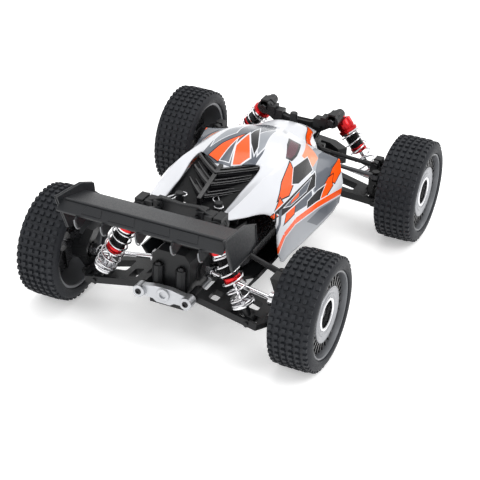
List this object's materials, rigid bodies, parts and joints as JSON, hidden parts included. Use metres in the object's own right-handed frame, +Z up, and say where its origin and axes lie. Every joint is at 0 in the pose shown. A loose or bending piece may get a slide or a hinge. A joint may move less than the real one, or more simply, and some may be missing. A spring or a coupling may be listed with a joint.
{
  "type": "radio-controlled buggy",
  "caption": "Radio-controlled off-road buggy with a painted shell, rear wing, knobbly tyres and long-travel coil-over suspension.",
  "frame": {"origin": "on the ground, halfway along the car and on its centreline", "axes": "+X forward along the car, +Y to the driver's left, +Z up; suspension at full droop"},
  "size_m": [0.28, 0.194, 0.101],
  "materials": {
    "black_nylon": "satin black glass-filled nylon",
    "grey_nylon": "dark grey nylon",
    "tyre_rubber": "matt black rubber with square knobs",
    "rim_black": "black wheel with a bright dish",
    "bright_steel": "polished steel",
    "spring_steel": "bright spring wire",
    "red_anodised": "red anodised aluminium",
    "satin_aluminium": "satin machined aluminium",
    "painted_shell": "white polycarbonate painted inside, with orange, black and grey graphics",
    "battery_wrap": "dark blue shrink wrap",
    "motor_can": "black coated can",
    "gear_steel": "sintered steel"
  },
  "bodies": {
    "root": {"chassis_tray": "black_nylon", "front_gearbox": "black_nylon", "rear_gearbox": "black_nylon", "rear_pin_holder": "satin_aluminium", "front_shock_tower": "black_nylon", "rear_shock_tower": "black_nylon", "front_bumper": "black_nylon", "rear_wing": "black_nylon", "motor": "motor_can", "battery_pack": "battery_wrap", "speed_controller": "black_nylon", "steering_servo": "black_nylon"},
    "body_shell": {"body_shell": "painted_shell"},
    "rear_arm_left": {"rear_arm_left": "black_nylon"},
    "rear_hub_left": {"rear_hub_carrier_left": "black_nylon"},
    "rear_wheel_left": {"rear_tyre_left": "tyre_rubber", "rear_rim_left": "rim_black"},
    "rear_shock_left": {"rear_shock_body_left": "red_anodised", "rear_spring_left": "spring_steel"},
    "rear_rod_left": {"rear_shock_rod_left": "bright_steel"},
    "rear_link_left": {"rear_camber_link_left": "black_nylon"},
    "rear_dogbone_left": {"rear_dogbone_left": "bright_steel"},
    "rear_arm_right": {"rear_arm_right": "black_nylon"},
    "rear_hub_right": {"rear_hub_carrier_right": "black_nylon"},
    "rear_wheel_right": {"rear_tyre_right": "tyre_rubber", "rear_rim_right": "rim_black"},
    "rear_shock_right": {"rear_shock_body_right": "red_anodised", "rear_spring_right": "spring_steel"},
    "rear_rod_right": {"rear_shock_rod_right": "bright_steel"},
    "rear_link_right": {"rear_camber_link_right": "black_nylon"},
    "rear_dogbone_right": {"rear_dogbone_right": "bright_steel"},
    "front_arm_left": {"front_arm_left": "black_nylon"},
    "front_carrier_left": {"front_hub_carrier_left": "black_nylon"},
    "front_knuckle_left": {"front_knuckle_left": "black_nylon"},
    "front_wheel_left": {"front_tyre_left": "tyre_rubber", "front_rim_left": "rim_black"},
    "front_shock_left": {"front_shock_body_left": "red_anodised", "front_spring_left": "spring_steel"},
    "front_rod_left": {"front_shock_rod_left": "bright_steel"},
    "front_link_left": {"front_camber_link_left": "black_nylon"},
    "front_dogbone_left": {"front_dogbone_left": "bright_steel"},
    "front_tie_left": {"front_tie_rod_left": "grey_nylon"},
    "front_arm_right": {"front_arm_right": "black_nylon"},
    "front_carrier_right": {"front_hub_carrier_right": "black_nylon"},
    "front_knuckle_right": {"front_knuckle_right": "black_nylon"},
    "front_wheel_right": {"front_tyre_right": "tyre_rubber", "front_rim_right": "rim_black"},
    "front_shock_right": {"front_shock_body_right": "red_anodised", "front_spring_right": "spring_steel"},
    "front_rod_right": {"front_shock_rod_right": "bright_steel"},
    "front_link_right": {"front_camber_link_right": "black_nylon"},
    "front_dogbone_right": {"front_dogbone_right": "bright_steel"},
    "front_tie_right": {"front_tie_rod_right": "grey_nylon"},
    "steering_rack": {"steering_rack": "grey_nylon"},
    "servo_horn": {"servo_horn": "grey_nylon"},
    "front_diff": {"front_diff": "gear_steel"},
    "rear_diff": {"rear_diff": "gear_steel"},
    "centre_shaft": {"centre_shaft": "gear_steel"},
    "pinion": {"pinion_gear": "gear_steel"}
  },
  "joints": [
    {"name": "rear_arm_left_bump", "type": "hinge", "parent": "root", "child": "rear_arm_left", "pos_m": [-0.0806, 0.0155, 0.034], "axis": [1, 0, 0], "range_deg": [0, 16], "stiffness_Nm_per_rad": 0.6, "springref_deg": -17.19},
    {"name": "rear_hub_left_pivot", "type": "hinge", "parent": "rear_arm_left", "child": "rear_hub_left", "pos_m": [-0.0806, 0.062, 0.0245], "axis": [1, 0, 0], "range_deg": [-19.4, 0]},
    {"name": "rear_shock_left_swing", "type": "hinge", "parent": "root", "child": "rear_shock_left", "pos_m": [-0.094, 0.025, 0.079], "axis": [1, 0, 0], "range_deg": [0, 6.05]},
    {"name": "rear_rod_left_slide", "type": "slide", "parent": "rear_shock_left", "child": "rear_rod_left", "axis": [0, -0.4417, 0.8972], "range_m": [0, 0.00854], "deforming": ["rear_spring_left"]},
    {"name": "rear_link_left_swing", "type": "hinge", "parent": "root", "child": "rear_link_left", "pos_m": [-0.0729, 0.02, 0.063], "axis": [1, 0, 0], "range_deg": [0, 18.1]},
    {"name": "rear_dogbone_left_swing", "type": "hinge", "parent": "root", "child": "rear_dogbone_left", "pos_m": [-0.0806, 0.017, 0.043], "axis": [1, 0, 0], "range_deg": [0, 17.58]},
    {"name": "rear_arm_right_bump", "type": "hinge", "parent": "root", "child": "rear_arm_right", "pos_m": [-0.0806, -0.0155, 0.034], "axis": [-1, 0, 0], "range_deg": [0, 16], "stiffness_Nm_per_rad": 0.6, "springref_deg": -17.19},
    {"name": "rear_hub_right_pivot", "type": "hinge", "parent": "rear_arm_right", "child": "rear_hub_right", "pos_m": [-0.0806, -0.062, 0.0245], "axis": [-1, 0, 0], "range_deg": [-19.4, 0]},
    {"name": "rear_shock_right_swing", "type": "hinge", "parent": "root", "child": "rear_shock_right", "pos_m": [-0.094, -0.025, 0.079], "axis": [-1, 0, 0], "range_deg": [0, 6.05]},
    {"name": "rear_rod_right_slide", "type": "slide", "parent": "rear_shock_right", "child": "rear_rod_right", "axis": [0, 0.4417, 0.8972], "range_m": [0, 0.00854], "deforming": ["rear_spring_right"]},
    {"name": "rear_link_right_swing", "type": "hinge", "parent": "root", "child": "rear_link_right", "pos_m": [-0.0729, -0.02, 0.063], "axis": [-1, 0, 0], "range_deg": [0, 18.1]},
    {"name": "rear_dogbone_right_swing", "type": "hinge", "parent": "root", "child": "rear_dogbone_right", "pos_m": [-0.0806, -0.017, 0.043], "axis": [-1, 0, 0], "range_deg": [0, 17.58]},
    {"name": "front_arm_left_bump", "type": "hinge", "parent": "root", "child": "front_arm_left", "pos_m": [0.0966, 0.013, 0.0295], "axis": [1, 0, 0], "range_deg": [0, 16], "stiffness_Nm_per_rad": 0.6, "springref_deg": -17.19},
    {"name": "front_carrier_left_pivot", "type": "hinge", "parent": "front_arm_left", "child": "front_carrier_left", "pos_m": [0.0966, 0.061, 0.0225], "axis": [1, 0, 0], "range_deg": [-13.38, 0]},
    {"name": "front_shock_left_swing", "type": "hinge", "parent": "root", "child": "front_shock_left", "pos_m": [0.106, 0.0252, 0.074], "axis": [1, 0, 0], "range_deg": [0, 7.57]},
    {"name": "front_rod_left_slide", "type": "slide", "parent": "front_shock_left", "child": "front_rod_left", "axis": [0, -0.5946, 0.804], "range_m": [0, 0.01072], "deforming": ["front_spring_left"]},
    {"name": "front_link_left_swing", "type": "hinge", "parent": "root", "child": "front_link_left", "pos_m": [0.0894, 0.018, 0.053], "axis": [1, 0, 0], "range_deg": [0, 18.59]},
    {"name": "front_dogbone_left_swing", "type": "hinge", "parent": "root", "child": "front_dogbone_left", "pos_m": [0.0966, 0.016, 0.043], "axis": [1, 0, 0], "range_deg": [0, 16.41]},
    {"name": "front_tie_left_swing", "type": "hinge", "parent": "steering_rack", "child": "front_tie_left", "pos_m": [0.0795, 0.019, 0.05], "axis": [1, 0, 0], "range_deg": [0, 17.59]},
    {"name": "front_arm_right_bump", "type": "hinge", "parent": "root", "child": "front_arm_right", "pos_m": [0.0966, -0.013, 0.0295], "axis": [-1, 0, 0], "range_deg": [0, 16], "stiffness_Nm_per_rad": 0.6, "springref_deg": -17.19},
    {"name": "front_carrier_right_pivot", "type": "hinge", "parent": "front_arm_right", "child": "front_carrier_right", "pos_m": [0.0966, -0.061, 0.0225], "axis": [-1, 0, 0], "range_deg": [-13.38, 0]},
    {"name": "front_shock_right_swing", "type": "hinge", "parent": "root", "child": "front_shock_right", "pos_m": [0.106, -0.0252, 0.074], "axis": [-1, 0, 0], "range_deg": [0, 7.57]},
    {"name": "front_rod_right_slide", "type": "slide", "parent": "front_shock_right", "child": "front_rod_right", "axis": [0, 0.5946, 0.804], "range_m": [0, 0.01072], "deforming": ["front_spring_right"]},
    {"name": "front_link_right_swing", "type": "hinge", "parent": "root", "child": "front_link_right", "pos_m": [0.0894, -0.018, 0.053], "axis": [-1, 0, 0], "range_deg": [0, 18.59]},
    {"name": "front_dogbone_right_swing", "type": "hinge", "parent": "root", "child": "front_dogbone_right", "pos_m": [0.0966, -0.016, 0.043], "axis": [-1, 0, 0], "range_deg": [0, 16.41]},
    {"name": "front_tie_right_swing", "type": "hinge", "parent": "steering_rack", "child": "front_tie_right", "pos_m": [0.0795, -0.019, 0.05], "axis": [-1, 0, 0], "range_deg": [0, 17.59]},
    {"name": "front_knuckle_left_steer", "type": "hinge", "parent": "front_carrier_left", "child": "front_knuckle_left", "pos_m": [0.0966, 0.064, 0.03575], "axis": [0, 0, 1], "range_deg": [-20, 20]},
    {"name": "front_knuckle_right_steer", "type": "hinge", "parent": "front_carrier_right", "child": "front_knuckle_right", "pos_m": [0.0966, -0.064, 0.03575], "axis": [0, 0, 1], "range_deg": [-20.2, 20.2]},
    {"name": "steering_rack_slide", "type": "slide", "parent": "root", "child": "steering_rack", "axis": [0, 1, 0], "range_m": [-0.0062, 0.0062]},
    {"name": "servo_horn_turn", "type": "hinge", "parent": "root", "child": "servo_horn", "pos_m": [0.0575, 0.0134, 0.052], "axis": [0, 0, 1], "range_deg": [-15.6, 15.6]},
    {"name": "rear_wheel_left_spin", "type": "hinge", "parent": "rear_hub_left", "child": "rear_wheel_left", "pos_m": [-0.0806, 0.083, 0.03575], "axis": [0, 1, 0], "continuous": true},
    {"name": "rear_wheel_right_spin", "type": "hinge", "parent": "rear_hub_right", "child": "rear_wheel_right", "pos_m": [-0.0806, -0.083, 0.03575], "axis": [0, 1, 0], "continuous": true},
    {"name": "front_wheel_left_spin", "type": "hinge", "parent": "front_knuckle_left", "child": "front_wheel_left", "pos_m": [0.0966, 0.083, 0.03575], "axis": [0, 1, 0], "continuous": true},
    {"name": "front_wheel_right_spin", "type": "hinge", "parent": "front_knuckle_right", "child": "front_wheel_right", "pos_m": [0.0966, -0.083, 0.03575], "axis": [0, 1, 0], "continuous": true},
    {"name": "rear_diff_spin", "type": "hinge", "parent": "root", "child": "rear_diff", "pos_m": [-0.0806, 0, 0.043], "axis": [0, 1, 0], "continuous": true},
    {"name": "front_diff_spin", "type": "hinge", "parent": "root", "child": "front_diff", "pos_m": [0.0966, 0, 0.043], "axis": [0, 1, 0], "continuous": true},
    {"name": "centre_shaft_spin", "type": "hinge", "parent": "root", "child": "centre_shaft", "pos_m": [0, 0, 0.043], "axis": [1, 0, 0], "continuous": true},
    {"name": "pinion_spin", "type": "hinge", "parent": "root", "child": "pinion", "pos_m": [-0.056, -0.0184, 0.043], "axis": [1, 0, 0], "continuous": true},
    {"name": "body_shell_lift", "type": "slide", "parent": "root", "child": "body_shell", "axis": [0, 0, 1], "range_m": [0, 0.08]}
  ],
  "couplings": [
    {"joint": "rear_hub_left_pivot", "follows": "rear_arm_left_bump", "ratio": -1.2003},
    {"joint": "rear_shock_left_swing", "follows": "rear_arm_left_bump", "ratio": 0.36545},
    {"joint": "rear_rod_left_slide", "follows": "rear_arm_left_bump", "m_per_rad": 0.029851},
    {"joint": "rear_link_left_swing", "follows": "rear_arm_left_bump", "ratio": 1.1188},
    {"joint": "rear_dogbone_left_swing", "follows": "rear_arm_left_bump", "ratio": 1.0863},
    {"joint": "rear_hub_right_pivot", "follows": "rear_arm_right_bump", "ratio": -1.2003},
    {"joint": "rear_shock_right_swing", "follows": "rear_arm_right_bump", "ratio": 0.36545},
    {"joint": "rear_rod_right_slide", "follows": "rear_arm_right_bump", "m_per_rad": 0.029851},
    {"joint": "rear_link_right_swing", "follows": "rear_arm_right_bump", "ratio": 1.1188},
    {"joint": "rear_dogbone_right_swing", "follows": "rear_arm_right_bump", "ratio": 1.0863},
    {"joint": "front_carrier_left_pivot", "follows": "front_arm_left_bump", "ratio": -0.82401},
    {"joint": "front_shock_left_swing", "follows": "front_arm_left_bump", "ratio": 0.46045},
    {"joint": "front_rod_left_slide", "follows": "front_arm_left_bump", "m_per_rad": 0.037663},
    {"joint": "front_link_left_swing", "follows": "front_arm_left_bump", "ratio": 1.1493},
    {"joint": "front_dogbone_left_swing", "follows": "front_arm_left_bump", "ratio": 1.0134},
    {"joint": "front_tie_left_swing", "follows": "front_arm_left_bump", "ratio": 1.0866},
    {"joint": "front_carrier_right_pivot", "follows": "front_arm_right_bump", "ratio": -0.82401},
    {"joint": "front_shock_right_swing", "follows": "front_arm_right_bump", "ratio": 0.46045},
    {"joint": "front_rod_right_slide", "follows": "front_arm_right_bump", "m_per_rad": 0.037663},
    {"joint": "front_link_right_swing", "follows": "front_arm_right_bump", "ratio": 1.1493},
    {"joint": "front_dogbone_right_swing", "follows": "front_arm_right_bump", "ratio": 1.0134},
    {"joint": "front_tie_right_swing", "follows": "front_arm_right_bump", "ratio": 1.0866},
    {"joint": "front_knuckle_right_steer", "follows": "front_knuckle_left_steer", "ratio": 1},
    {"joint": "steering_rack_slide", "follows": "front_knuckle_left_steer", "m_per_rad": -0.01675},
    {"joint": "servo_horn_turn", "follows": "front_knuckle_left_steer", "ratio": -0.766},
    {"joint": "rear_wheel_right_spin", "follows": "rear_wheel_left_spin", "ratio": 1},
    {"joint": "front_wheel_left_spin", "follows": "rear_wheel_left_spin", "ratio": 1},
    {"joint": "front_wheel_right_spin", "follows": "rear_wheel_left_spin", "ratio": 1},
    {"joint": "rear_diff_spin", "follows": "rear_wheel_left_spin", "ratio": 1},
    {"joint": "front_diff_spin", "follows": "rear_wheel_left_spin", "ratio": 1},
    {"joint": "centre_shaft_spin", "follows": "rear_wheel_left_spin", "ratio": 3},
    {"joint": "pinion_spin", "follows": "rear_wheel_left_spin", "ratio": -9}
  ]
}
